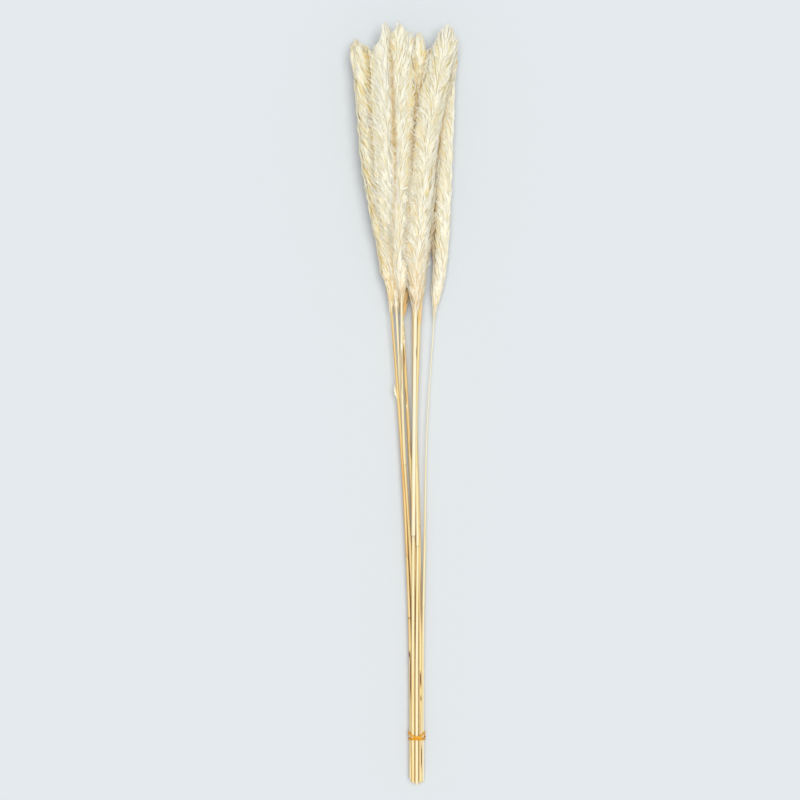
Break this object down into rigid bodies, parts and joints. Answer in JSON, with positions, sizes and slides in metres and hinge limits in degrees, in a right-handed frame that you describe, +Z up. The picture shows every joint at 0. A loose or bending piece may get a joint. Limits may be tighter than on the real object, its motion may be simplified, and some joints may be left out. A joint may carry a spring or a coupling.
{
  "type": "dried miscanthus bunch",
  "caption": "Bunch of dried ornamental grass, feathery cream plumes on straw stems held by a wound rubber band, lying down.",
  "frame": {"origin": "on the surface it lies on, under the middle of the box round the bunch", "axes": "+Y along the stems from the cut ends to the plumes' tips, +Z up from the surface, +X across the bunch"},
  "size_m": [0.1056, 0.75, 0.0451],
  "materials": {
    "plume": "matte",
    "culm": "satin",
    "rubber_band": "satin"
  },
  "bodies": {
    "root": {"plume_a": "plume", "plume_c": "plume", "plume_d": "plume", "plume_e": "plume", "plume_f": "plume", "plume_g": "plume", "plume_h": "plume", "plume_i": "plume", "plume_j": "plume", "plume_k": "plume", "culm_a": "culm", "culm_c": "culm", "culm_d": "culm", "culm_e": "culm", "culm_f": "culm", "culm_g": "culm", "culm_h": "culm", "culm_i": "culm", "culm_j": "culm", "culm_k": "culm", "rubber_band": "rubber_band"}
  },
  "joints": []
}
